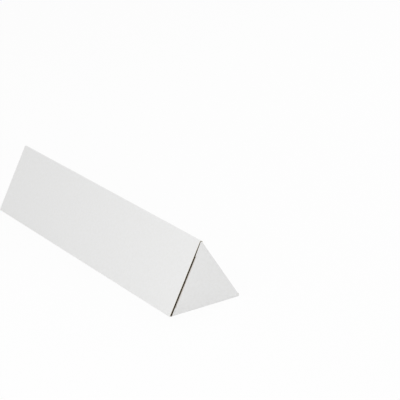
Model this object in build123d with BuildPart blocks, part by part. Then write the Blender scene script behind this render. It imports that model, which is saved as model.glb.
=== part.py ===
"""Triangular mailing tube folded from one sheet of white-faced corrugated board."""
import os
from math import cos, radians, sin, sqrt, tan

from build123d import *

os.makedirs("parts", exist_ok=True)

# Driving sizes in millimetres and degrees
side = 67.0                 # side of the triangle, between its sharp outer corners
tube_length = 316.0         # between the two raw ends of the left wall
board = 1.6                 # thickness of the corrugated board
liner = 0.25                # thickness of each facing sheet of the board
fold_radius = 1.4           # outside radius of every fold
flute_recess = 1.2          # how far the wavy core lies back from a raw end
pinch_length = 5.0          # stretch of raw end below the ridge where the core is pressed shut

glue_width = 28.0           # closing flap, from its fold to its free edge
glue_setback = 17.0         # closing flap, from the raw end of the tube to its root
glue_taper = 30.0           # slope of the closing flap's two ends

dust_height = 16.0          # small inner flap, from the floor to its free edge
dust_corner = 4.0           # corner radius of the small inner flap

tab_depth = 12.0            # tuck tab, from its fold to its free edge
tab_lean = 10.0             # how far the tuck tab leans away from the left wall
tab_taper = 25.0            # slope of the tuck tab's two ends
tab_corner = 3.0            # corner radius of the tuck tab
tab_top_margin = 13.0       # bare stretch of the flap's edge above the tuck tab
tab_foot_margin = 7.0       # bare stretch of the flap's edge below the tuck tab

flap_recess = 0.3           # closed flap behind the raw end of the left wall
tuck_gap = 0.5              # closed flap beside the inner face of the left wall
floor_gap = 0.4             # lower edge of the closed flap above the floor
closure_gap = 0.4           # closed flap in front of the small inner flap
dust_tab_gap = 2.6          # small inner flap beside the tuck tab
dust_wall_gap = 1.5         # small inner flap beside the right wall
hinge_margin = 0.4          # flap's hinge line beyond the rounded corners at its ends
slit_gap = 0.2              # slits in the sheet that part the two ends of the hinge line

# The triangle, seen from the front end: X runs right and Z up
sin60 = sqrt(3) / 2
height = side * sin60
apex = (0, height)
right_corner = (side / 2, 0)
left_inner_foot = -side / 2 + board / sin60
right_inner_corner = (side / 2 - sqrt(3) * board, board)
apex_inner = (0, height - 2 * board)
fold_reach = sqrt(3) * max(board, fold_radius)      # from a sharp corner to the far end of its fold


def beside_left_wall(gap, z):
    """X of the line that runs along the left wall's inner face, at a gap from it."""
    return left_inner_foot + (gap + z / 2) / sin60


def beside_right_wall(gap, z):
    """X of the line that runs along the right wall's inner face, at a gap from it."""
    return -beside_left_wall(gap, z)


# Where the outer surfaces lie along the tube, at the front end
raw_end = -tube_length / 2
flap_face = raw_end + flap_recess
dust_face = flap_face + board + closure_gap

# The flap's hinge line follows the outer corner of the right wall's end, from the floor to the ridge.
# Across it, X runs into the tube and Y from the right wall's outer face inwards.
hinge_line = Plane(origin=(side / 2, flap_face, 0), x_dir=(0, 1, 0), z_dir=(-0.5, 0, sin60))
hinge_relief = fold_reach + hinge_margin
hinge_length = side - 2 * hinge_relief

# The left wall's inner face: X runs along the tube towards the back and Y up the wall
left_wall_inside = Plane(origin=(left_inner_foot, 0, 0), x_dir=(0, 1, 0), z_dir=(sin60, 0, -0.5))


def round_fold(corner, length):
    """Round a square fold, whose two outer faces leave the plane's origin along its X and Y."""
    with BuildSketch(corner) as waste:
        Rectangle(fold_radius, fold_radius, align=(Align.MIN, Align.MIN))
        with Locations((fold_radius, fold_radius)):
            Circle(fold_radius, mode=Mode.SUBTRACT)
    extrude(waste.sketch, amount=length, mode=Mode.SUBTRACT)


# Tube wrap: left wall, ridge fold, right wall, bottom wall and closing flap in one folded sheet.
# The front half is modelled and mirrored to the back.
with BuildPart() as tube_wrap:
    # The three walls as one strip, from the raw lower edge of the left wall round to the bottom's edge
    raw_foot_inner = (left_inner_foot, 0)
    raw_foot_outer = (left_inner_foot - board * sin60, board / 2)
    bottom_edge = left_inner_foot + fold_reach
    with BuildSketch(Plane.XZ):
        with BuildLine():
            FilletPolyline(raw_foot_outer, apex, right_corner, (bottom_edge, 0), radius=fold_radius)
            Polyline((bottom_edge, 0), (bottom_edge, board), right_inner_corner, apex_inner,
                     raw_foot_inner, raw_foot_outer)
        make_face()
    extrude(amount=tube_length / 2)

    # Closing flap: folded up from the bottom wall and glued flat inside the left wall
    glue_length = tube_length / 2 - glue_setback
    glue_top = (left_inner_foot + glue_width / 2, glue_width * sin60)
    closing_seam = bottom_edge + board
    with BuildSketch(Plane.XZ):
        with BuildLine():
            FilletPolyline((closing_seam, 0), raw_foot_inner, glue_top, radius=fold_radius)
            Polyline(glue_top, (glue_top[0] + board * sin60, glue_top[1] - board / 2),
                     (left_inner_foot + sqrt(3) * board, board), (closing_seam, board), (closing_seam, 0))
        make_face()
    extrude(amount=glue_length)
    glue_slope = (glue_width - fold_reach) * tan(radians(glue_taper))
    with BuildSketch(left_wall_inside):
        with BuildLine():
            Polyline((-glue_length, fold_reach), (-glue_length, glue_width),
                     (glue_slope - glue_length, glue_width), close=True)
        make_face()
    extrude(amount=board, mode=Mode.SUBTRACT)

    # Right wall: its end is mitred and rounded where the flap folds off it
    with BuildSketch(hinge_line.offset(hinge_relief)):
        with BuildLine():
            Polyline((-board, -board), (board, board), (-board, board), close=True)
        make_face()
    extrude(amount=hinge_length, mode=Mode.SUBTRACT)
    round_fold(hinge_line.offset(hinge_relief), hinge_length)

    # Bottom wall and the foot of the right wall stop behind the closed flap
    with BuildSketch(Plane.XY):
        with Locations((bottom_edge, raw_end)):
            Rectangle(side, dust_face - raw_end, align=(Align.MIN, Align.MIN))
    extrude(amount=board, mode=Mode.SUBTRACT)
    with BuildSketch(hinge_line):
        with Locations((-flap_recess, 0)):
            Rectangle(dust_face - raw_end, board, align=(Align.MIN, Align.MIN))
    extrude(amount=hinge_relief, mode=Mode.SUBTRACT)

    # Small inner flap: folded up from the end of the bottom wall, behind the closed flap
    tab_room = tuck_gap + board / cos(radians(tab_lean)) + dust_tab_gap
    with BuildSketch(Plane.XZ.offset(-dust_face)) as dust_outline:
        with BuildLine():
            Polyline((beside_left_wall(tab_room, 0), 0), (beside_right_wall(dust_wall_gap, 0), 0),
                     (beside_right_wall(dust_wall_gap, dust_height), dust_height),
                     (beside_left_wall(tab_room, dust_height), dust_height), close=True)
        make_face()
        fillet(dust_outline.vertices().group_by(Axis.Y)[-1], dust_corner)
    extrude(amount=-board)
    dust_fold = Plane(origin=(beside_left_wall(tab_room, 0), dust_face, 0), x_dir=(0, 1, 0), z_dir=(1, 0, 0))
    round_fold(dust_fold, beside_right_wall(dust_wall_gap, 0) - beside_left_wall(tab_room, 0))

    # Raw end of the left wall: the core lies back between the two facing sheets
    with BuildSketch(Plane.XZ.offset(-raw_end)):
        wall_run = side - pinch_length
        with Locations(Location((-side / 2, 0, 0), (0, 0, 60))):
            with Locations((0, -liner)):
                Rectangle(wall_run, board - 2 * liner, align=(Align.MIN, Align.MAX))
    extrude(amount=-flute_recess, mode=Mode.SUBTRACT)

    mirror(about=Plane.XZ)

tube_wrap.part.label = "tube_wrap"
export_step(tube_wrap.part, "parts/tube_wrap.step")


# Tuck tab of the front end flap: a strip bent back at the flap's far edge, leaning clear of the left wall.
# Its fold's sharp corner runs up the left wall, and the tab is cut to a tapered outline with round corners.
tab_edge = beside_left_wall(tuck_gap, 0)
tab_top = side - (board + tuck_gap) / sin60 - tab_top_margin
tab_length = tab_top - tab_foot_margin
lean = radians(tab_lean)
with BuildPart() as tuck_tab:
    tab_seam = fold_reach + board
    tip = (tab_depth * cos(lean), tab_depth * sin(lean))
    tip_inner = (tip[0] - board * sin(lean), tip[1] + board * cos(lean))
    across_fold = Plane(origin=(tab_edge + tab_top / 2, flap_face, tab_top * sin60), x_dir=(0, 1, 0),
                        z_dir=(-0.5, 0, -sin60))
    with BuildSketch(across_fold):
        with BuildLine():
            FilletPolyline((0, tab_seam), (0, 0), tip, radius=fold_radius)
            Polyline(tip, tip_inner, (board, board * (tan(lean) + 1 / cos(lean))), (board, tab_seam),
                     (0, tab_seam))
        make_face()
    extrude(amount=tab_length)

    tab_face = Plane(origin=(tab_edge, flap_face, 0), x_dir=(0.5, 0, sin60),
                     z_dir=(sin60 * cos(lean), -sin(lean), -0.5 * cos(lean)))
    tab_slope = (tab_depth - board) * tan(radians(tab_taper))
    with BuildSketch(tab_face) as tab_outline:
        with BuildLine():
            Polyline((tab_foot_margin, 0), (tab_foot_margin, -board),
                     (tab_foot_margin + tab_slope, -tab_depth), (tab_top - tab_slope, -tab_depth),
                     (tab_top, -board), (tab_top, 0), close=True)
        make_face()
        fillet(tab_outline.vertices().group_by(Axis.Y)[0], tab_corner)
    extrude(amount=2 * tab_seam, both=True, mode=Mode.INTERSECT)


# End flap: a triangle hinged on the right wall, whose tab tucks inside the left wall
with BuildPart() as end_flap_front:
    # Flat triangle, cut short below the ridge and rounded at the foot of the hinge
    flap_run = side - hinge_relief - slit_gap
    hinge_top = (side / 2 - flap_run / 2, flap_run * sin60)
    shoulder = sqrt(3) * (hinge_relief + slit_gap - (board + tuck_gap) / sin60)
    flap_shoulder = (hinge_top[0] - shoulder * sin60, hinge_top[1] - shoulder / 2)
    with BuildSketch(Plane.XZ.offset(-flap_face)) as flap_outline:
        with BuildLine():
            Polyline((beside_left_wall(tuck_gap, floor_gap), floor_gap), flap_shoulder, hinge_top,
                     (side / 2 - floor_gap / tan(radians(60)), floor_gap), close=True)
        make_face()
        fillet(flap_outline.vertices().sort_by(Axis.X)[-1], fold_radius)
        with Locations(Location((tab_edge, 0, 0), (0, 0, 60))):
            with Locations((tab_foot_margin, 0)):
                Rectangle(tab_length, tab_seam, align=(Align.MIN, Align.MAX), mode=Mode.SUBTRACT)
    extrude(amount=-board)
    add(tuck_tab.part)

    # Mitre and round the hinge edge to match the right wall's end
    with BuildSketch(hinge_line.offset(hinge_relief - slit_gap)):
        with BuildLine():
            Polyline((0, 0), (board, 0), (board, board), close=True)
        make_face()
    extrude(amount=hinge_length, mode=Mode.SUBTRACT)
    round_fold(hinge_line.offset(hinge_relief - slit_gap), hinge_length)

end_flap_front.part.label = "end_flap_front"
export_step(end_flap_front.part, "parts/end_flap_front.step")


# The back end is closed in the same way, mirrored
with BuildPart() as end_flap_back:
    mirror(end_flap_front.part, about=Plane.XZ)

end_flap_back.part.label = "end_flap_back"
export_step(end_flap_back.part, "parts/end_flap_back.step")
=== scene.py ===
# Triangular mailing tube: one sheet of white-faced corrugated board, creased into three long walls and glued
# along its left wall. A triangular flap closes each end, and its tab tucks inside the left wall.
from math import ceil, cos, floor, pi, radians, sin, sqrt, tan

import bpy
from mathutils import Matrix, Vector


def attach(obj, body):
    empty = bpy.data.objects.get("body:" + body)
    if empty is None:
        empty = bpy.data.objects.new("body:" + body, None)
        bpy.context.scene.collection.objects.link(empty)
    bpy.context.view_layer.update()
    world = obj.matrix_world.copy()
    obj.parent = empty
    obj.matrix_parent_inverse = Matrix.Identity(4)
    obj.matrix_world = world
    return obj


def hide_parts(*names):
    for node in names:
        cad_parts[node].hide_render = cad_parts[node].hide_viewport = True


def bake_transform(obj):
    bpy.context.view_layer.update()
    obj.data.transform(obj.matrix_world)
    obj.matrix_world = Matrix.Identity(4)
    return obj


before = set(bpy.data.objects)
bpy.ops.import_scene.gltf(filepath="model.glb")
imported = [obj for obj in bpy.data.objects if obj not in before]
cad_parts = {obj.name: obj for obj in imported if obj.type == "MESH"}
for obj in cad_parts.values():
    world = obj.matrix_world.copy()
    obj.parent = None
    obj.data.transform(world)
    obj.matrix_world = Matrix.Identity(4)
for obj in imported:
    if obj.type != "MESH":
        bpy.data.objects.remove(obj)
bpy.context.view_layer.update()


# Camera. It stands off to the left of the tube's front end and looks down on it, tipped a few degrees, so
# that the left wall runs away to the upper left and the closed end shows beside it.
camera_place = (-0.6264, -1.2386, 0.5485)       # metres
camera_turn = 30.16         # degrees from +Y towards +X
camera_dip = 20.12          # degrees below level
camera_tip = -3.74          # degrees about the line of sight
focal_pixels = 1700.0       # focal length, counted in pixels of the picture
frame_pixels = 400.0        # width of the picture
film_width = 36.0           # mm

bpy.context.scene.view_settings.view_transform = "Standard"
camera_data = bpy.data.cameras.new("camera")
camera_data.sensor_width = film_width
camera_data.lens = focal_pixels * film_width / frame_pixels
camera_data.clip_start = 0.05
camera_data.clip_end = 20.0
camera = bpy.data.objects.new("camera", camera_data)
bpy.context.scene.collection.objects.link(camera)
dipped = Matrix.Rotation(radians(90 - camera_dip), 4, "X")
turned = Matrix.Rotation(radians(-camera_turn), 4, "Z")
tipped = Matrix.Rotation(radians(camera_tip), 4, "Z")
camera.matrix_world = Matrix.Translation(camera_place) @ turned @ dipped @ tipped
bpy.context.scene.camera = camera


# Studio. White paper under and behind the tube, a broad soft lamp above it on the left and a weaker one on
# the right, and an even white room. The paper looks white to the lens and keeps the tube's soft shadow.
paper_size = 6.0            # metres, as are all sizes in this section
paper_tooth = 1 / 900       # grain of the paper, about 1 mm across
paper_white = "#F2F2F2"
paper_grain = "#EFEFEF"
paper_glare = 0.9           # share of plain white that the lens sees in the paper
room_strength = 0.741
lamp_size = 0.9
lamp_aim = Vector((0, 0, 0.03))     # the middle of the tube
lamps = (                   # name, place, and power in watts
    ("main_lamp", (-0.55, -0.50, 0.60), 2.61),
    ("fill_lamp", (0.80, 0.15, 0.80), 2.24))


def linear(hex_colour):
    """An sRGB hex colour as linear red, green, blue and full opacity."""
    channels = [int(hex_colour[i:i + 2], 16) / 255 for i in (1, 3, 5)]
    return tuple(c / 12.92 if c <= 0.04045 else ((c + 0.055) / 1.055) ** 2.4 for c in channels) + (1.0,)


def add_node(tree, kind, settings=None, values=None, links=None):
    """One shader node with its settings, its input values, and the outputs linked into its inputs. A socket
    goes by its name, or by its number where Blender gives several sockets the same name."""
    node = tree.nodes.new(kind)
    for key, value in (settings or {}).items():
        setattr(node, key, value)
    for socket, value in (values or {}).items():
        node.inputs[socket].default_value = value
    for socket, source in (links or {}).items():
        tree.links.new(source, node.inputs[socket])
    return node


# Background paper: matt white paper with a faint grain. The lens sees it as nearly plain white, with the
# tube's shadow on it, and it lights the tube no more than real paper does.
background_paper = bpy.data.materials.new("background_paper")
background_paper.use_nodes = True
tree = background_paper.node_tree
tree.nodes.clear()
lens = add_node(tree, "ShaderNodeLightPath")
grain = add_node(tree, "ShaderNodeTexNoise", values={"Scale": 1 / paper_tooth, "Detail": 2.0})
tint = add_node(tree, "ShaderNodeMix", {"data_type": "RGBA"},
                {6: linear(paper_white), 7: linear(paper_grain)}, {"Factor": grain.outputs["Fac"]})
paper = add_node(tree, "ShaderNodeBsdfPrincipled", values={"Roughness": 0.9, "Specular IOR Level": 0.2},
                 links={"Base Color": tint.outputs[2]})
white = add_node(tree, "ShaderNodeEmission", values={"Color": (1, 1, 1, 1), "Strength": 1.0})
glare = add_node(tree, "ShaderNodeMath", {"operation": "MULTIPLY"}, {1: paper_glare},
                 {0: lens.outputs["Is Camera Ray"]})
seen = add_node(tree, "ShaderNodeMixShader", links={
    0: glare.outputs["Value"], 1: paper.outputs["BSDF"], 2: white.outputs["Emission"]})
add_node(tree, "ShaderNodeOutputMaterial", links={"Surface": seen.outputs["Shader"]})

half = paper_size / 2
paper_corners = [(-half, -half, 0), (half, -half, 0), (half, half, 0), (-half, half, 0)]
paper_mesh = bpy.data.meshes.new("background_paper")
paper_mesh.from_pydata(paper_corners, [], [(0, 1, 2, 3)])
paper_mesh.materials.append(background_paper)
floor_paper = bpy.data.objects.new("background_paper", paper_mesh)
bpy.context.scene.collection.objects.link(floor_paper)

room = bpy.data.worlds.new("room")
room.use_nodes = True
tree = room.node_tree
tree.nodes.clear()
lens = add_node(tree, "ShaderNodeLightPath")
level = add_node(tree, "ShaderNodeMix", {"data_type": "FLOAT"}, {2: room_strength, 3: 1.0},
                 {"Factor": lens.outputs["Is Camera Ray"]})
air = add_node(tree, "ShaderNodeBackground", values={"Color": (1, 1, 1, 1)},
               links={"Strength": level.outputs["Result"]})
add_node(tree, "ShaderNodeOutputWorld", links={"Surface": air.outputs["Background"]})
bpy.context.scene.world = room

for name, place, power in lamps:
    lamp_data = bpy.data.lights.new(name, "AREA")
    lamp_data.shape = "SQUARE"
    lamp_data.size = lamp_size
    lamp_data.energy = power
    lamp = bpy.data.objects.new(name, lamp_data)
    bpy.context.scene.collection.objects.link(lamp)
    lamp.location = place
    lamp.rotation_euler = (lamp_aim - Vector(place)).to_track_quat("-Z", "Y").to_euler()


# Walls. The left, right and bottom walls of the tube, die-cut in one sheet of fine-fluted board and folded at
# rounded creases. The board is a white-topped paper outside, a brown paper inside, and a wavy paper glued
# between them, whose waves run round the tube.
mm = 0.001                  # sizes from here on are in mm
side = 67.0                 # side of the triangle, between its sharp outer corners
tube_length = 316.0
board = 1.6                 # thickness of the whole board
facing = 0.25               # thickness of each facing paper
flute_paper = 0.18          # thickness of the wavy paper
flute_pitch = 3.4
flute_recess = 1.6          # the wavy paper lies back this far from the tube's raw ends
cut_back = 0.1              # this far from other knife cuts
crease_gap = 0.4            # and this far from a crease's inner corner
fold_radius = 1.4           # outside radius of every fold
crushed = 0.8               # stretch of board beside a hinge crease where the wavy paper is crushed flat
flap_recess = 0.3           # the closed end flap lies this far behind the left wall's raw end
closure_gap = 0.4           # and this far in front of the small inner flap
tuck_gap = 0.42             # gap between the closed end flap and the left wall's inner face, at the floor
tab_top_margin = 13.0       # bare stretch of the end flap's left edge above its tab
tab_room = 4.7              # gap between the small inner flap and the left wall, for the tuck tab
dust_gap = 1.5              # and between it and the right wall
hinge_margin = 0.4          # from the wall's inner corner to the foot of the hinge fold
hinge_slit = 0.45           # parts the hinge fold from the ridge
hinge_lap = 0.6             # flat strip of the hinge fold's white paper beyond its bend
pressed_back = 1.0          # near the ridge the raw end's inner papers are pressed back under the end flap
pressed_below = 0.5         # starting this far below the top of the end flap's tab
raw_foot = 0.45             # the left wall's outer paper ends this far up from the sharp corner on the floor
glue_recess = 17.0          # the closing flap's ends lie back this far, clear of the tuck tabs

sin60 = sqrt(3) / 2
raw_end = -tube_length / 2
flap_foot = (board + tuck_gap) / sin60      # on the floor, from the sharp corner to the end flap's left edge
tab_top = side - flap_foot - tab_top_margin
pressed_start = tab_top + flap_foot / 2 - pressed_below
pressed_end = raw_end + pressed_back
flap_face = raw_end + flap_recess
dust_face = flap_face + board + closure_gap
bend = sqrt(3) * fold_radius            # from a sharp 60 degree corner to where its rounded fold starts
inner_corner = sqrt(3) * board          # from a sharp outer corner to the sharp inner one, along the wall
waves_corner = inner_corner + crease_gap
hinge_foot = inner_corner + hinge_margin
hinge_top = side - hinge_foot - hinge_slit
hinge_start = flap_face + fold_radius + hinge_lap
hinge_inside = flap_face + board + crushed
left_inner_foot = -side / 2 + board / sin60
raw_foot_inside = board / sqrt(3)       # the left wall's foot is cut square: its inner corner is on the floor
bottom_edge = left_inner_foot + inner_corner
bottom_on_blank = 2.5 * side            # the middle of the bottom wall, across the flat sheet
glue_bend = left_inner_foot + bend
glue_length = tube_length / 2 - glue_recess


class Panel:
    """A flat panel of the folded sheet. A point on it is (u, v) in mm, at a depth below its white face. The
    blank is the flat sheet before folding: across it runs the girth, and up it the length of the tube."""

    def __init__(self, origin, along, across, outward, blank_origin, blank_along, blank_across):
        self.origin = Vector(origin)
        self.along = Vector(along)
        self.across = Vector(across)
        self.outward = Vector(outward)
        self.blank_origin = Vector(blank_origin)
        self.blank_along = Vector(blank_along)
        self.blank_across = Vector(blank_across)

    def place(self, u, v, depth=0.0):
        """Where the point is in the folded tube, in metres."""
        return (self.origin + u * self.along + v * self.across - depth * self.outward) * mm

    def blank(self, u, v):
        """Where it is on the flat sheet, in mm."""
        return self.blank_origin + u * self.blank_along + v * self.blank_across


def swung(start, end, turn, share):
    """The direction a share of the way round from start to end, which are the angle turn apart."""
    return (start * sin((1 - share) * turn) + end * sin(share * turn)) / sin(turn)


class Paper:
    """One paper of the board, gathered face by face, with faces welded where they share a point."""
    grid = 1e7                  # steps to a metre: points in the same step are one
    hair = 1e-4                 # a run of waves starts and ends this far inside its outline
    shortest_crest = 0.05       # and a crest shorter than this is left out
    cut_angle = radians(60)     # an edge sharper than this is a knife cut, and isn't shaded as a curve

    def __init__(self, name):
        self.name = name
        self.points = []
        self.index = {}
        self.faces = []

    def face(self, places, blanks, curved=False):
        """One face through these places, left out if fewer than three of them differ."""
        corners, kept = [], []
        for place, blank in zip(places, blanks):
            key = tuple(round(c * self.grid) for c in place)
            if key not in self.index:
                self.index[key] = len(self.points)
                self.points.append(Vector(place))
            if self.index[key] not in corners:
                corners.append(self.index[key])
                kept.append(Vector(blank))
        if len(corners) > 2:
            self.faces.append((corners, kept, curved))

    def flat(self, panel, outline, depth=0.0, inside=False):
        """A flat face with this outline. It faces out of the tube, or into it for the brown side."""
        area = sum(a[0] * b[1] - b[0] * a[1] for a, b in zip(outline, outline[1:] + outline[:1]))
        faces_out = area * panel.along.cross(panel.across).dot(panel.outward) > 0
        if faces_out == inside:
            outline = outline[::-1]
        places = [panel.place(u, v, depth) for u, v in outline]
        self.face(places, [panel.blank(u, v) for u, v in outline])

    def strip(self, rows, outward):
        """A bent strip through rows of (place, blank) pairs. It faces the way that outward points."""
        for (a, b), (d, c) in zip(rows, rows[1:]):
            corners = [a, b, c, d]
            if (b[0] - a[0]).cross(d[0] - a[0]).dot(outward) < 0:
                corners = corners[::-1]
            self.face([corner[0] for corner in corners], [corner[1] for corner in corners], curved=True)

    def fold(self, first, first_edge, second, second_edge, steps=14, lap=0.0):
        """A rounded fold between two panels, from the edge where it starts on one to where it ends on the
        other. Each edge is two (u, v) points. With a lap, a flat strip of each panel goes with it."""
        turn = first.outward.angle(second.outward)
        rows = []
        for step in range(steps + 1):
            share = step / steps
            lean = swung(first.outward, second.outward, turn, share)
            row = []
            for start, end in zip(first_edge, second_edge):
                centre = first.place(*start, fold_radius).lerp(second.place(*end, fold_radius), share)
                blank = first.blank(*start).lerp(second.blank(*end), share)
                row.append((centre + fold_radius * mm * lean, blank))
            rows.append(row)
        if lap:
            rows.insert(0, [(first.place(u, v + lap), first.blank(u, v + lap)) for u, v in first_edge])
            rows.append([(second.place(u, v + lap), second.blank(u, v + lap)) for u, v in second_edge])
        self.strip(rows, first.outward + second.outward)

    def waves(self, panel, outline, steps=12):
        """The wavy paper over a convex outline: it swings between the facings across the tube's length."""
        slope_u, slope_v = panel.blank_along.y, panel.blank_across.y
        start = panel.blank_origin.y
        heights = [slope_u * u + slope_v * v + start for u, v in outline]
        lowest, highest = min(heights), max(heights)
        sides = list(zip(outline, outline[1:] + outline[:1], heights, heights[1:] + heights[:1]))
        step = flute_pitch / steps
        levels = [i * step for i in range(ceil(lowest / step), floor(highest / step) + 1)]
        swing = (board - 2 * facing - flute_paper) / 2
        rows = []
        for level in [lowest + self.hair] + levels + [highest - self.hair]:
            crest = []
            for a, b, low, high in sides:
                if (low - level) * (high - level) < 0:
                    crest.append(Vector(a).lerp(Vector(b), (level - low) / (high - low)))
            if len(crest) == 2 and (crest[1] - crest[0]).length > self.shortest_crest:
                crest.sort(key=lambda uv: panel.blank(*uv).x)
                wave = cos(2 * pi * (level - raw_end - flute_recess) / flute_pitch)
                depth = board / 2 + swing * wave - flute_paper / 2
                rows.append([(panel.place(*uv, depth), panel.blank(*uv)) for uv in crest])
        self.strip(rows, panel.outward)

    def add(self, other, mirrored=False):
        """Another paper's faces join this one, as they are or mirrored to the tube's other end."""
        flip = Vector((1, -1, 1)) if mirrored else Vector((1, 1, 1))
        turn = -1 if mirrored else 1
        for corners, blanks, curved in other.faces:
            self.face([other.points[i] * flip for i in corners[::turn]],
                      [Vector((b.x, turn * b.y)) for b in blanks[::turn]], curved)

    def build(self, thickness, materials):
        """The paper as an object, a closed sheet whose materials are its face, its back and its cut edge."""
        mesh = bpy.data.meshes.new(self.name)
        mesh.from_pydata(self.points, [], [corners for corners, blanks, curved in self.faces])
        blank_map = mesh.uv_layers.new(name="blank")
        for polygon, (corners, blanks, curved) in zip(mesh.polygons, self.faces):
            polygon.use_smooth = curved
            for loop, blank in zip(polygon.loop_indices, blanks):
                blank_map.data[loop].uv = blank * mm
        for material in materials:
            mesh.materials.append(material)
        piece = bpy.data.objects.new(self.name, mesh)
        bpy.context.scene.collection.objects.link(piece)
        thick = piece.modifiers.new("thickness", "SOLIDIFY")
        thick.thickness = thickness * mm
        thick.offset = -1.0             # added behind the face
        thick.use_even_offset = True
        thick.material_offset = 1       # the back's material
        thick.material_offset_rim = 2   # the cut edge's
        thickened = piece.evaluated_get(bpy.context.evaluated_depsgraph_get())
        piece.data = bpy.data.meshes.new_from_object(thickened)
        piece.modifiers.clear()
        piece.data.set_sharp_from_angle(angle=self.cut_angle)
        return piece


def beside_left_wall(gap, z):
    """X of the line that runs along the left wall's inner face at a gap from it, at a height z."""
    return left_inner_foot + (gap + z / 2) / sin60


def both_ends(front_points):
    """An outline given at the front end, closed by its mirror image at the back."""
    return front_points + [(u, -v) for u, v in front_points[::-1]]


dust_left = beside_left_wall(tab_room, 0)
dust_right = -beside_left_wall(dust_gap, 0)
left_wall = Panel((-side / 2, 0, 0), (0.5, 0, sin60), (0, 1, 0), (-sin60, 0, 0.5),
                  (0, 0), (1, 0), (0, 1))
right_wall = Panel((side / 2, 0, 0), (-0.5, 0, sin60), (0, 1, 0), (sin60, 0, 0.5),
                   (2 * side, 0), (-1, 0), (0, 1))
bottom_wall = Panel((0, 0, 0), (1, 0, 0), (0, 1, 0), (0, 0, -1),
                    (bottom_on_blank, 0), (-1, 0), (0, 1))

# White-top liner: bleached pulp laid on a brown sheet and smoothed on the machine. It is matt with a faint
# sheen, thinly clouded where the brown shows through, and very faintly ribbed by the waves glued behind it.
top_white = "#ECECEC"
top_thin = "#E9E9E8"
cloud_size = 2.5
fibre_width = 0.12          # real fibres are 0.03 mm wide; drawn coarser, so that they show up close
fibre_run = 5.0             # times longer than wide, along the tube
fibre_height = 0.02
rib_height = 0.006          # height of the ribs where the waves show through
sag_length = 80.0           # the board is slightly out of flat over this length
sag_height = 0.6
noise_low = 0.3             # most of a noise pattern lies between these two
noise_high = 0.7
smoothest = 0.5             # roughness where the white pulp is thick
dullest = 0.62              # and where it is thin

white_top_liner = bpy.data.materials.new("white_top_liner")
white_top_liner.use_nodes = True
tree = white_top_liner.node_tree
tree.nodes.clear()
on_blank = add_node(tree, "ShaderNodeUVMap", {"uv_map": "blank"})
grain_way = add_node(tree, "ShaderNodeMapping", values={"Scale": (fibre_run, 1, 1)},
                     links={"Vector": on_blank.outputs["UV"]})
cloud = add_node(tree, "ShaderNodeTexNoise", {"noise_dimensions": "2D"},
                 {"Scale": 1 / (cloud_size * mm), "Detail": 4.0, "Roughness": 0.6},
                 {"Vector": on_blank.outputs["UV"]})
fibre = add_node(tree, "ShaderNodeTexNoise", {"noise_dimensions": "2D"},
                 {"Scale": 1 / (fibre_width * fibre_run * mm), "Detail": 3.0},
                 {"Vector": grain_way.outputs["Vector"]})
sag = add_node(tree, "ShaderNodeTexNoise", {"noise_dimensions": "2D"},
               {"Scale": 1 / (sag_length * mm), "Detail": 1.0}, {"Vector": on_blank.outputs["UV"]})
cover = add_node(tree, "ShaderNodeMapRange", values={"From Min": noise_low, "From Max": noise_high},
                 links={"Value": cloud.outputs["Fac"]})
colour = add_node(tree, "ShaderNodeMix", {"data_type": "RGBA"},
                  {6: linear(top_white), 7: linear(top_thin)}, {"Factor": cover.outputs["Result"]})
sheen = add_node(tree, "ShaderNodeMapRange", values={"To Min": smoothest, "To Max": dullest},
                 links={"Value": cloud.outputs["Fac"]})
along = add_node(tree, "ShaderNodeSeparateXYZ", links={"Vector": on_blank.outputs["UV"]})
turns = add_node(tree, "ShaderNodeMath", {"operation": "MULTIPLY"}, {1: 2 * pi / (flute_pitch * mm)},
                 {0: along.outputs["Y"]})
ribs = add_node(tree, "ShaderNodeMath", {"operation": "SINE"}, links={0: turns.outputs["Value"]})
rib_bump = add_node(tree, "ShaderNodeBump", values={"Strength": 1.0, "Distance": rib_height * mm},
                    links={"Height": ribs.outputs["Value"]})
sag_bump = add_node(tree, "ShaderNodeBump", values={"Strength": 1.0, "Distance": sag_height * mm},
                    links={"Height": sag.outputs["Fac"], "Normal": rib_bump.outputs["Normal"]})
fibre_bump = add_node(tree, "ShaderNodeBump", values={"Strength": 0.4, "Distance": fibre_height * mm},
                      links={"Height": fibre.outputs["Fac"], "Normal": sag_bump.outputs["Normal"]})
surface = add_node(tree, "ShaderNodeBsdfPrincipled", values={"IOR": 1.47},
                   links={"Base Color": colour.outputs[2], "Roughness": sheen.outputs["Result"],
                          "Normal": fibre_bump.outputs["Normal"]})
add_node(tree, "ShaderNodeOutputMaterial", links={"Surface": surface.outputs["BSDF"]})

# Brown papers, made from unbleached and recycled pulp: mottled, flecked with short fibres, rough and with no
# sheen. The inside facing is tan test liner, and the waves are a darker, greyer fluting paper. The sides
# that face the waves are painted near-black, as painted shade for the deep slot between the facings at the
# raw ends. A knife-cut edge of the white-top sheet is cream, and one of the brown sheet a dull tan,
# darkened further by painted shade.
fleck_length = 1.0
fleck_run = 3.0             # times longer than wide, along the tube
fleck_height = 0.04
cloud_share = 0.6           # strength of the clouds beside the flecks
mixed_low = 0.55            # most of their sum lies between these two
mixed_high = 1.05


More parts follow.
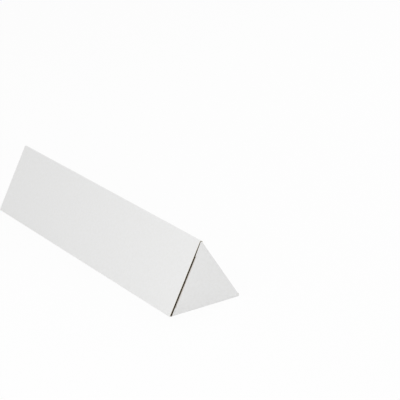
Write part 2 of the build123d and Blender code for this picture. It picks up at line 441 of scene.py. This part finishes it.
def brown_paper(name, pale, dark, cloud_size):
    """Brown paper whose two browns mix in clouds of this size and in flecks."""
    material = bpy.data.materials.new(name)
    material.use_nodes = True
    tree = material.node_tree
    tree.nodes.clear()
    on_blank = add_node(tree, "ShaderNodeUVMap", {"uv_map": "blank"})
    grain_way = add_node(tree, "ShaderNodeMapping", values={"Scale": (fleck_run, 1, 1)},
                         links={"Vector": on_blank.outputs["UV"]})
    cloud = add_node(tree, "ShaderNodeTexNoise", {"noise_dimensions": "2D"},
                     {"Scale": 1 / (cloud_size * mm), "Detail": 5.0, "Roughness": 0.65},
                     {"Vector": on_blank.outputs["UV"]})
    fleck = add_node(tree, "ShaderNodeTexNoise", {"noise_dimensions": "2D"},
                     {"Scale": 1 / (fleck_length * mm), "Detail": 3.0},
                     {"Vector": grain_way.outputs["Vector"]})
    mixed = add_node(tree, "ShaderNodeMath", {"operation": "MULTIPLY_ADD"}, {1: cloud_share},
                     {0: cloud.outputs["Fac"], 2: fleck.outputs["Fac"]})
    cover = add_node(tree, "ShaderNodeMapRange", values={"From Min": mixed_low, "From Max": mixed_high},
                     links={"Value": mixed.outputs["Value"]})
    colour = add_node(tree, "ShaderNodeMix", {"data_type": "RGBA"}, {6: linear(dark), 7: linear(pale)},
                      {"Factor": cover.outputs["Result"]})
    bump = add_node(tree, "ShaderNodeBump", values={"Strength": 0.5, "Distance": fleck_height * mm},
                    links={"Height": fleck.outputs["Fac"]})
    surface = add_node(tree, "ShaderNodeBsdfPrincipled", values={"Roughness": 0.88, "IOR": 1.45},
                       links={"Base Color": colour.outputs[2], "Normal": bump.outputs["Normal"]})
    add_node(tree, "ShaderNodeOutputMaterial", links={"Surface": surface.outputs["BSDF"]})
    return material


test_liner = brown_paper("test_liner", "#C2A680", "#A98B63", cloud_size=4.0)
fluting = brown_paper("fluting_paper", "#917D60", "#75634A", cloud_size=2.0)
# The facings' backs: painted shade, near-black brown, so that the slot at the raw ends looks dark.
painted_shade_back = brown_paper("starch_glued_side", "#453B2A", "#342C1F", cloud_size=2.0)
cream_edge = brown_paper("cut_edge_of_white_top_liner", "#E4DCC8", "#D2C7AE", cloud_size=1.0)
# Cut edge of the test liner: a dull tan, darkened further with painted shade so that the raw ends' slot looks
# dark.
tan_edge_and_painted_shade = brown_paper("cut_edge_of_test_liner", "#6A5B3E", "#524630", cloud_size=1.0)

# Each paper of the board: its thickness, and the materials of its face, its back and its cut edge.
# Both facings take the back painted with shade.
white_paper = (facing, (white_top_liner, painted_shade_back, cream_edge))
tan_paper = (facing, (test_liner, painted_shade_back, tan_edge_and_painted_shade))
wavy_paper = (flute_paper, (fluting, fluting, fluting))


def fit(piece, body, node):
    """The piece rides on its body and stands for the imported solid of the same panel."""
    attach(piece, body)
    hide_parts(node)


outside = Paper("wall_white_liner")
outside.flat(left_wall, both_ends([(raw_foot, raw_end), (side - bend, raw_end)]))
outside.fold(left_wall, ((side - bend, raw_end), (side - bend, -raw_end)),
             right_wall, ((side - bend, raw_end), (side - bend, -raw_end)))
outside.flat(right_wall, both_ends([
    (side - bend, raw_end), (side - hinge_foot, raw_end), (side - hinge_foot, hinge_start),
    (hinge_foot, hinge_start), (hinge_foot, dust_face), (bend, dust_face)]))
outside.fold(right_wall, ((bend, dust_face), (bend, -dust_face)),
             bottom_wall, ((side / 2 - bend, dust_face), (side / 2 - bend, -dust_face)))
outside.flat(bottom_wall, both_ends([
    (side / 2 - bend, dust_face), (dust_right, dust_face), (dust_right, dust_face + fold_radius),
    (dust_left, dust_face + fold_radius), (dust_left, dust_face), (bottom_edge, dust_face),
    (bottom_edge, -glue_length), (glue_bend, -glue_length)]))
fit(outside.build(*white_paper), "tube", "tube_wrap")

inside = Paper("wall_brown_liner")
inside.flat(left_wall, both_ends([
    (raw_foot_inside, raw_end), (pressed_start, raw_end), (pressed_start, pressed_end),
    (side - inner_corner, pressed_end)]), board, inside=True)
inside.flat(right_wall, both_ends([
    (side - inner_corner, pressed_end), (side - hinge_foot, pressed_end),
    (side - hinge_foot, hinge_inside), (hinge_foot, hinge_inside), (hinge_foot, dust_face),
    (inner_corner, dust_face)]), board, inside=True)
inside.flat(bottom_wall, both_ends([
    (side / 2 - inner_corner, dust_face), (dust_right, dust_face), (dust_right, dust_face + board),
    (dust_left, dust_face + board), (dust_left, dust_face), (bottom_edge, dust_face)]),
    board, inside=True)
fit(inside.build(*tan_paper), "tube", "tube_wrap")

core = Paper("wall_flutes")
core.waves(left_wall, both_ends([
    (raw_foot_inside + cut_back, raw_end + flute_recess), (side - waves_corner, raw_end + flute_recess)]))
core.waves(right_wall, both_ends([(side - waves_corner, hinge_inside), (waves_corner, hinge_inside)]))
core.waves(bottom_wall, both_ends([
    (side / 2 - waves_corner, dust_face + board), (bottom_edge + cut_back, dust_face + board)]))
fit(core.build(*wavy_paper), "tube", "tube_wrap")

# At the ridge the creasing rule has crushed the waves into the fold, which shows at the raw ends.
crushed_lump = 1.0          # how far into the tube the crushed waves are modelled
ridge_steps = 8
ridge_turn = radians(120)
ridge_centre = left_wall.place(side - bend, pressed_end, fold_radius)
inner_ridge = (left_wall.place(side - inner_corner, pressed_end, board),
               left_wall.blank(side - bend, board))
rows = []
for wall in (left_wall, right_wall):
    rows.append([(wall.place(side - waves_corner, pressed_end, depth),
                  wall.blank(side - waves_corner, depth)) for depth in (facing, board)])
for step in range(ridge_steps + 1):
    share = step / ridge_steps
    lean = swung(left_wall.outward, right_wall.outward, ridge_turn, share)
    under_fold = ridge_centre + lean * (fold_radius - facing) * mm
    rows.insert(-1, [(under_fold, left_wall.blank(side - bend + share * bend, 0)), inner_ridge])
ridge_core = Paper("front_ridge_crushed_flutes")
ridge_core.strip(rows, Vector((0, -1, 0)))
for end, mirrored in (("front", False), ("back", True)):
    twin = Paper(end + "_ridge_crushed_flutes")
    twin.add(ridge_core, mirrored)
    fit(twin.build(crushed_lump, (fluting, fluting, fluting)), "tube", "tube_wrap")


# Closing flap. The last panel of the blank, folded up from the bottom wall and glued flat to the inside of
# the left wall. Its ends are cut at a slant and lie well back from the tube's ends.
glue_width = 28.0
glue_line = 0.04            # thickness of the glue
glue_slant = radians(30)
glue_slope = (glue_width - inner_corner) * tan(glue_slant)

closing_flap = Panel((left_inner_foot + glue_line * sin60, 0, -glue_line / 2), (0.5, 0, sin60),
                     (0, 1, 0), (-sin60, 0, 0.5), (bottom_on_blank - left_inner_foot, 0), (1, 0), (0, 1))
outside = Paper("closing_flap_white_liner")
outside.fold(bottom_wall, ((glue_bend, -glue_length), (glue_bend, glue_length)),
             closing_flap, ((bend, -glue_length), (bend, glue_length)))
outside.flat(closing_flap, both_ends([
    (bend, -glue_length), (inner_corner, -glue_length), (glue_width, glue_slope - glue_length)]))
fit(outside.build(*white_paper), "tube", "tube_wrap")
inside = Paper("closing_flap_brown_liner")
inside.flat(closing_flap, both_ends([
    (inner_corner, -glue_length), (glue_width, glue_slope - glue_length)]), board, inside=True)
fit(inside.build(*tan_paper), "tube", "tube_wrap")
core = Paper("closing_flap_flutes")
core.waves(closing_flap, both_ends([
    (waves_corner, cut_back - glue_length),
    (glue_width - cut_back, cut_back + glue_slope - glue_length)]))
fit(core.build(*wavy_paper), "tube", "tube_wrap")


# Small inner flaps, or dust flaps. One is folded up from each end of the bottom wall and backs the end flap.
# Its sides slope with the walls, clear of the tuck tab, and its two free corners are rounded.
dust_height = 16.0
dust_corner = 4.0

dust_flap = Panel((0, dust_face, 0), (1, 0, 0), (0, 0, 1), (0, -1, 0),
                  (bottom_on_blank, dust_face), (-1, 0), (0, -1))


def rounded(outline, corner, radius, steps=6):
    """The outline with one of its corners rounded."""
    here = Vector(outline[corner])
    back = (Vector(outline[corner - 1]) - here).normalized()
    ahead = (Vector(outline[(corner + 1) % len(outline)]) - here).normalized()
    half = back.angle(ahead) / 2
    centre = here + (back + ahead).normalized() * radius / sin(half)
    start = here + back * radius / tan(half) - centre
    end = here + ahead * radius / tan(half) - centre
    turn = start.angle(end)
    arc = [tuple(centre + swung(start, end, turn, step / steps)) for step in range(steps + 1)]
    return outline[:corner] + arc + outline[corner + 1:]


def dust_outline(foot, inset=0.0):
    """The small inner flap from its foot up, with its two free corners rounded."""
    left, right = tab_room + inset, dust_gap + inset
    top = dust_height - inset
    corners = [(beside_left_wall(left, foot), foot), (-beside_left_wall(right, foot), foot),
               (-beside_left_wall(right, top), top), (beside_left_wall(left, top), top)]
    return rounded(rounded(corners, 3, dust_corner), 2, dust_corner)


outside = Paper("front_small_flap_white_liner")
outside.flat(dust_flap, dust_outline(fold_radius))
outside.fold(bottom_wall, ((dust_left, dust_face + fold_radius), (dust_right, dust_face + fold_radius)),
             dust_flap, dust_outline(fold_radius)[:2], steps=10)
inside = Paper("front_small_flap_brown_liner")
inside.flat(dust_flap, dust_outline(board), board, inside=True)
core = Paper("front_small_flap_flutes")
core.waves(dust_flap, dust_outline(board + crease_gap, cut_back))
for layer, paper in ((outside, white_paper), (inside, tan_paper), (core, wavy_paper)):
    fit(layer.build(*paper), "tube", "tube_wrap")
    twin = Paper(layer.name.replace("front", "back"))
    twin.add(layer, mirrored=True)
    fit(twin.build(*paper), "tube", "tube_wrap")


# End flaps. A triangle folded off each end of the right wall, with a tapered tab folded back from its far
# edge and tucked inside the left wall. Above the tab its white paper laps the end of the left wall, up to
# the ridge.
floor_gap = 0.1
top_gap = 0.05              # the flap sits a little askew, this near the left wall at the top of its tab
tab_depth = 12.0
tab_corner = 3.0
tab_foot = 7.0              # where the tab starts, up the flap's left edge
tab_lean = radians(10)
tab_slant = radians(25)     # slant of the tab's two ends
tab_waves_gap = 0.3         # the waves stop this far from the inside of the tab's fold
ridge_gap = 0.3             # near the ridge the inner papers are cut back, to clear the wall in the swing
lap_foot = 0.05             # how far the white paper laps the wall's end just above the tab
lap_top = 0.5               # and at the ridge
ridge_slit = 0.4            # from the right wall's outer face to the white paper's tip
tip_radius = 0.6
foot_slit = 0.05            # between the flap's flat foot and the hinge fold

edge_rise = radians(60) + (tuck_gap - top_gap) / tab_top        # slope of the flap's left edge
edge_turn = edge_rise + radians(60)                             # and its angle on the blank
tab_edge = beside_left_wall(tuck_gap, 0)
edge_reach = side / 2 - tab_edge
tab_slope = (tab_depth - board) * tan(tab_slant)
tab_bend = fold_radius / tan((pi / 2 - tab_lean) / 2)
tab_inside = board * (tan(tab_lean) + 1 / cos(tab_lean))
beyond_fold = tab_inside + tab_waves_gap
hinge_side = board + crushed
tip = 2 * sin60 * (side - hinge_top) - 2 * (board + ridge_gap)      # width of the brown paper's blunt tip

end_flap = Panel((side / 2, flap_face, 0), (-0.5, 0, sin60), (-sin60, 0, -0.5), (0, -1, 0),
                 (2 * side, flap_face), (-1, 0), (0, -1))


def from_left_edge(up, inset):
    """A point on the end flap, this far up its left edge and in from it."""
    return (edge_reach / 2 - up * cos(edge_turn) - inset * sin(edge_turn),
            edge_reach * sin60 - up * sin(edge_turn) + inset * cos(edge_turn))


tuck_tab = Panel((tab_edge, flap_face, 0), (cos(edge_rise), 0, sin(edge_rise)),
                 (sin(edge_rise) * sin(tab_lean), cos(tab_lean), -cos(edge_rise) * sin(tab_lean)),
                 (-sin(edge_rise) * cos(tab_lean), sin(tab_lean), cos(edge_rise) * cos(tab_lean)),
                 end_flap.blank(*from_left_edge(0, 0)), (cos(edge_turn), sin(edge_turn)),
                 (-sin(edge_turn), cos(edge_turn)))


def rise(across, inset):
    """How far up the left edge a point is that lies this far across from the hinge and in from that edge."""
    return (edge_reach * sin60 + inset * cos(edge_turn) - across) / sin(edge_turn)


def above_floor(inset):
    """How far up an edge the flap's waves start, this far in from it."""
    return (floor_gap + cut_back + inset * cos(edge_rise)) / sin(edge_rise)


def flap_outline(hinge_edge, fold_edge, laps=False):
    """The triangle, from the foot of its hinge round by the floor, the tab's fold and the ridge."""
    foot = floor_gap / sin60
    hinge_end = hinge_foot - foot_slit
    foot_corners = [(hinge_end, hinge_edge), (hinge_end, 0), (foot, 0), from_left_edge(foot, 0)]
    points = rounded(foot_corners, 2, fold_radius)
    points += [from_left_edge(tab_foot, 0), from_left_edge(tab_foot, fold_edge),
               from_left_edge(tab_top, fold_edge)]
    if laps:
        tip_corner = len(points) + 1
        points += [from_left_edge(tab_top, -lap_foot), from_left_edge(rise(ridge_slit, -lap_top), -lap_top),
                   (hinge_top, ridge_slit), (hinge_top, hinge_edge)]
        return rounded(points, tip_corner, tip_radius)
    return points + [from_left_edge(tab_top, cut_back), (hinge_top, tip), (hinge_top, hinge_edge)]


def tab_outline(root, inset=0.0):
    """The tuck tab from its fold in, with its two free corners rounded."""
    foot, top = tab_foot + inset, tab_top - inset
    free = tab_depth - inset
    corners = [(foot, root), (foot + tab_slope, free), (top - tab_slope, free), (top, root)]
    return rounded(rounded(corners, 2, tab_corner), 1, tab_corner)


outside = Paper("front_flap_white_liner")
outside.flat(end_flap, flap_outline(fold_radius + hinge_lap, tab_bend, laps=True))
outside.fold(end_flap, (from_left_edge(tab_foot, tab_bend), from_left_edge(tab_top, tab_bend)),
             tuck_tab, ((tab_foot, tab_bend), (tab_top, tab_bend)), steps=12)
outside.flat(tuck_tab, tab_outline(tab_bend))
inside = Paper("front_flap_brown_liner")
inside.flat(end_flap, flap_outline(hinge_side, tab_inside), board, inside=True)
inside.flat(tuck_tab, tab_outline(tab_inside), board, inside=True)

# The waves fill the triangle up to the tab's fold, then its edge below the tab and above it, and the tab.
core = Paper("front_flap_flutes")
core.waves(end_flap, [
    (above_floor(hinge_side), hinge_side), from_left_edge(above_floor(beyond_fold), beyond_fold),
    from_left_edge(rise(hinge_side, beyond_fold), beyond_fold)])
core.waves(end_flap, [
    from_left_edge(above_floor(cut_back), cut_back),
    from_left_edge(above_floor(beyond_fold), beyond_fold),
    from_left_edge(tab_foot - cut_back, beyond_fold), from_left_edge(tab_foot - cut_back, cut_back)])
core.waves(end_flap, [
    from_left_edge(tab_top + cut_back, 2 * cut_back), from_left_edge(tab_top + cut_back, beyond_fold),
    from_left_edge(rise(hinge_side, beyond_fold), beyond_fold),
    from_left_edge(rise(hinge_side, 2 * ridge_gap), 2 * ridge_gap)])
core.waves(tuck_tab, tab_outline(beyond_fold, cut_back))
for layer, paper in ((outside, white_paper), (inside, tan_paper), (core, wavy_paper)):
    fit(layer.build(*paper), "front_flap", "end_flap_front")
    twin = Paper(layer.name.replace("front", "back"))
    twin.add(layer, mirrored=True)
    fit(twin.build(*paper), "back_flap", "end_flap_back")


# Hinge folds. Only the papers of the board run on round the crease between the right wall and an end flap:
# they are the hinge. The creasing rule has crushed the waves there, so that they lie flat between the
# facings.
hinge_line = ((hinge_foot, hinge_start - hinge_lap), (hinge_top, hinge_start - hinge_lap))

# Half of each inner paper's way round the crease, as points into the tube and into the flap from its sharp
# outer corner. The other half mirrors it.
crease_valley = ((hinge_side, board), (1.9, 1.5), (1.5, 1.3), (1.2, 1.08), (1.0, 1.0))
crushed_waves = ((hinge_side, board / 2), (1.8, 0.74), (1.3, 0.7), (0.95, 0.72), (0.74, 0.74))


def creased(name, half_path, inside):
    """An inner paper in the crease. On the blank it is stretched to fill the gap between the two panels."""
    paper = Paper(name)
    into_tube, into_flap = half_path[0]
    stretch = into_tube / (into_tube - into_flap)
    rows = []
    for along, across in half_path + tuple((b, a) for a, b in half_path[-2::-1]):
        on_blank = flap_face + (along - across) * stretch
        rows.append([(right_wall.place(u, flap_face + along, across), right_wall.blank(u, on_blank))
                     for u in (hinge_foot, hinge_top)])
    outward = right_wall.outward + end_flap.outward
    paper.strip(rows, -outward if inside else outward)
    return paper


outside = Paper("front_hinge_white_liner")
outside.fold(right_wall, hinge_line, end_flap, ((hinge_foot, fold_radius), (hinge_top, fold_radius)),
             steps=16, lap=hinge_lap)
inside = creased("front_hinge_brown_liner", crease_valley, True)
core = creased("front_hinge_flutes", crushed_waves, False)
folds = (                   # each paper, and the point where it leaves the wall for the crease
    (outside, white_paper, (fold_radius, 0)),
    (inside, tan_paper, crease_valley[0]),
    (core, wavy_paper, crushed_waves[0]))
for layer, paper, (along, across) in folds:
    for end, mirrored in (("front", False), ("back", True)):
        crease = Paper(layer.name.replace("front", end))
        crease.add(layer, mirrored)
        piece = crease.build(*paper)
        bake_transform(piece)
